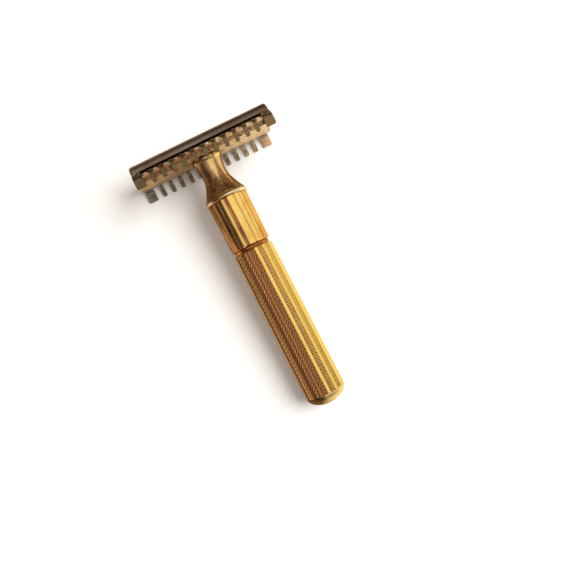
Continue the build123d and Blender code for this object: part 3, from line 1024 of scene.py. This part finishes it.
class RAZOR_OT_grip(bpy.types.Operator):
    """Make the knurled grip with Geometry Nodes, and its domed plug"""

    bl_idname = "razor.grip"
    bl_label = "Knurled grip and plug"

    def execute(self, context):
        sizes = context.scene.razor_sizes
        plug_low, _ = node_span("end_plug")
        _, high = node_span("grip_sleeve")
        low = plug_low + PLUG_DOME
        end_radius = node_radius("grip_sleeve", low, low + END_BAND)
        material = grip_finish()
        tree = sleeve_tree("Knurled sleeve", KNURL_INPUTS, knurl_rule, KNURL_COLUMNS)
        mesh = run_tree("grip_dressed", tree, {
            "Ribs": sizes.flute_count,
            "Phase": sizes.flute_phase,
            "Rows": 2 * round((high - low) / (2 * sizes.knurl_row / MM)),
            "Top": high,
            "End": low,
            "Top Radius": node_radius("grip_sleeve", low=high - END_BAND),
            "End Radius": end_radius,
            "Bore": GRIP_BORE_RADIUS,
            "Edge": GRIP_EDGE,
            "Rib Width": sizes.rib_width / MM,
            "Rib Height": sizes.rib_height / MM,
            "Knurl Depth": sizes.knurl_depth / MM,
            "Material": material,
        }, sharp_deg=18)
        finish_piece(mesh_object(mesh), material, "grip", "grip_sleeve")

        dome = arc((0.0, low), (end_radius - GRIP_EDGE, PLUG_DOME), 0, -90, 24)
        outline = [(0.0, low), *dome[:-1], (0.0, plug_low)]
        plug = mesh_object(turned_mesh("end_plug_dressed", outline, segments=128))
        finish_piece(plug, plug_finish(), "grip", "end_plug")
        return {"FINISHED"}


class RAZOR_OT_works(bpy.types.Operator):
    """Give the pieces inside their machined finish"""

    bl_idname = "razor.works"
    bl_label = "Inner works"

    def execute(self, context):
        colours = context.scene.razor_colours
        by_slot = {
            "inner_brass": plain_finish(
                "inner_brass", colours.bright_gold, colours.deep_gold, 0.3
            ),
            "tray_brass": plain_finish("tray_brass", colours.comb_tan, colours.comb_grey, 0.34),
            "inner_steel": plain_finish("inner_steel", colours.steel, colours.dull_steel, 0.3),
        }
        for part in frame["record"]["subparts"]:
            slot = part["material_slot"]
            if slot in by_slot:
                node = frame["nodes"][part["node"]]
                node.data.materials.clear()
                node.data.materials.append(by_slot[slot])
        return {"FINISHED"}


# ---- The stage ----
FLOOR_HALF = 3.0

# The way to the window: level with the table, and how far it leans from straight overhead.
WINDOW_TURN = math.radians(-8)
WINDOW_LEAN = math.radians(35)
WINDOW_COLOUR = (0.955, 1.0, 1.0)

# The room's bright opening starts between the first two leans from overhead, to the right,
# and becomes the wall between the next two. It fades out towards both ends of the handle.
OPENING_LEAN = (math.radians(-52), math.radians(-22))
WALL_LEAN = (math.radians(52), math.radians(80))
OPENING_END = (0.38, 0.74)
ROOM_COLOUR = srgb(255, 248, 242)

# The camera looks down on the table with the head turned away to the left. It leans a
# little to the right and towards the head, and stands here from the doors' hinges.
VIEW_TURN = math.radians(-27.15)
VIEW_RIGHT = Vector((math.cos(VIEW_TURN), math.sin(VIEW_TURN), 0))
VIEW_UP = Vector((-math.sin(VIEW_TURN), math.cos(VIEW_TURN), 0))
LEAN_RIGHT = math.radians(2.03)
LEAN_UP = math.radians(5.28)
CAMERA_FROM_HEAD = Vector((-9.50, -58.43, 175.43)) * MM
SENSOR_WIDTH_MM = 36.0
CLIP_RANGE = (0.005, 20.0)


def make_floor(colours):
    """A wide pale floor that shows near white and keeps the razor's shadow."""
    mesh = bpy.data.meshes.new("floor")
    corners = [(x * FLOOR_HALF, y * FLOOR_HALF, 0) for x, y in ((-1, -1), (1, -1), (1, 1), (-1, 1))]
    mesh.from_pydata(corners, [], [(0, 1, 2, 3)])
    floor = bpy.data.objects.new("floor", mesh)
    bpy.context.scene.collection.objects.link(floor)
    material = bpy.data.materials.new("floor")
    material.use_nodes = True
    tree = material.node_tree
    shader = tree.nodes["Principled BSDF"]
    shader.inputs["Base Color"].default_value = tuple(colours.floor)
    shader.inputs["Roughness"].default_value = 0.9
    shader.inputs["Specular IOR Level"].default_value = 0.0
    shader.inputs["Emission Color"].default_value = tuple(colours.floor_glow)
    path = tree.nodes.new("ShaderNodeLightPath")
    seen = Field(tree, path.outputs["Is Camera Ray"])
    seen = seen.math("MAXIMUM", Field(tree, path.outputs["Is Glossy Ray"]))
    seen = seen.math("MAXIMUM", Field(tree, path.outputs["Is Transmission Ray"]))
    tree.links.new(seen.socket, shader.inputs["Emission Strength"])
    mesh.materials.append(material)


def make_world(stage):
    """A plain room: bright overhead and to the right across the razor, dim elsewhere."""
    world = bpy.data.worlds.new("room")
    bpy.context.scene.world = world
    world.use_nodes = True
    tree = world.node_tree
    background = tree.nodes["Background"]
    coordinate = tree.nodes.new("ShaderNodeTexCoord")
    across, along, height = split_xyz(tree, coordinate.outputs["Generated"])
    lean = across.math("ARCTAN2", height)
    band = along.math("ABSOLUTE").falling(*OPENING_END)
    opening = lean.rising(*OPENING_LEAN) * band * (stage.sky - stage.dim)
    wall = lean.rising(*WALL_LEAN) * band * (stage.sky - stage.wall)
    tree.links.new((opening - wall + stage.dim).socket, background.inputs["Strength"])
    background.inputs["Color"].default_value = ROOM_COLOUR


def make_lamp(stage):
    """One broad soft lamp, high on the right."""
    data = bpy.data.lights.new("window", "SUN")
    data.energy = stage.window_power
    data.color = WINDOW_COLOUR
    data.angle = stage.window_spread
    lamp = bpy.data.objects.new("window", data)
    lamp.visible_glossy = False
    level = Vector((math.cos(WINDOW_TURN), math.sin(WINDOW_TURN), 0))
    towards = level * math.sin(WINDOW_LEAN) + Vector((0, 0, math.cos(WINDOW_LEAN)))
    lamp.rotation_euler = towards.to_track_quat("Z", "Y").to_euler()
    bpy.context.scene.collection.objects.link(lamp)


def make_camera(stage):
    """The camera at the viewing angle."""
    ahead = (Vector((0, 0, -1)) + LEAN_RIGHT * VIEW_RIGHT + LEAN_UP * VIEW_UP).normalized()
    right = (VIEW_RIGHT - VIEW_RIGHT.dot(ahead) * ahead).normalized()
    up = right.cross(ahead)
    data = bpy.data.cameras.new("camera")
    data.lens = stage.lens
    data.sensor_width = SENSOR_WIDTH_MM
    data.clip_start, data.clip_end = CLIP_RANGE
    camera = bpy.data.objects.new("camera", data)
    place = (REAR_HINGE + FRONT_HINGE) / 2 + CAMERA_FROM_HEAD
    turn = Matrix((right, up, -ahead)).transposed().to_4x4()
    camera.matrix_world = Matrix.Translation(place) @ turn
    bpy.context.scene.collection.objects.link(camera)
    bpy.context.scene.camera = camera


class RAZOR_OT_stage(bpy.types.Operator):
    """Set the floor, the lamp, the world and the camera"""

    bl_idname = "razor.stage"
    bl_label = "Stage"

    def execute(self, context):
        make_floor(context.scene.razor_colours)
        make_world(context.scene.razor_stage)
        make_lamp(context.scene.razor_stage)
        make_camera(context.scene.razor_stage)
        context.scene.view_settings.view_transform = "Standard"
        return {"FINISHED"}


# ---- The add-on ----
STEPS = (
    RAZOR_OT_comb,
    RAZOR_OT_doors,
    RAZOR_OT_neck,
    RAZOR_OT_barrel,
    RAZOR_OT_grip,
    RAZOR_OT_works,
    RAZOR_OT_stage,
)


class RAZOR_PT_panel(bpy.types.Panel):
    """Lists the sizes and colours, and the steps that dress the razor"""

    bl_idname = "RAZOR_PT_panel"
    bl_label = "Razor"
    bl_space_type = "VIEW_3D"
    bl_region_type = "UI"
    bl_category = "Razor"

    def draw(self, context):
        scene = context.scene
        for group in (scene.razor_sizes, scene.razor_colours, scene.razor_stage):
            box = self.layout.box()
            for name in group.bl_rna.properties.keys():
                if name not in ("rna_type", "name"):
                    box.prop(group, name)
        for step in STEPS:
            self.layout.operator(step.bl_idname)


GROUPS = (RazorSizes, RazorColours, StageSettings)


def register():
    for item in (*GROUPS, *STEPS, RAZOR_PT_panel):
        bpy.utils.register_class(item)
    bpy.types.Scene.razor_sizes = bpy.props.PointerProperty(type=RazorSizes)
    bpy.types.Scene.razor_colours = bpy.props.PointerProperty(type=RazorColours)
    bpy.types.Scene.razor_stage = bpy.props.PointerProperty(type=StageSettings)


def unregister():
    del bpy.types.Scene.razor_stage
    del bpy.types.Scene.razor_colours
    del bpy.types.Scene.razor_sizes
    for item in reversed((*GROUPS, *STEPS, RAZOR_PT_panel)):
        bpy.utils.unregister_class(item)


def main():
    register()
    for step in STEPS:
        operator = getattr(bpy.ops.razor, step.bl_idname.split(".")[1])
        operator()


if __name__ == "__main__":
    main()
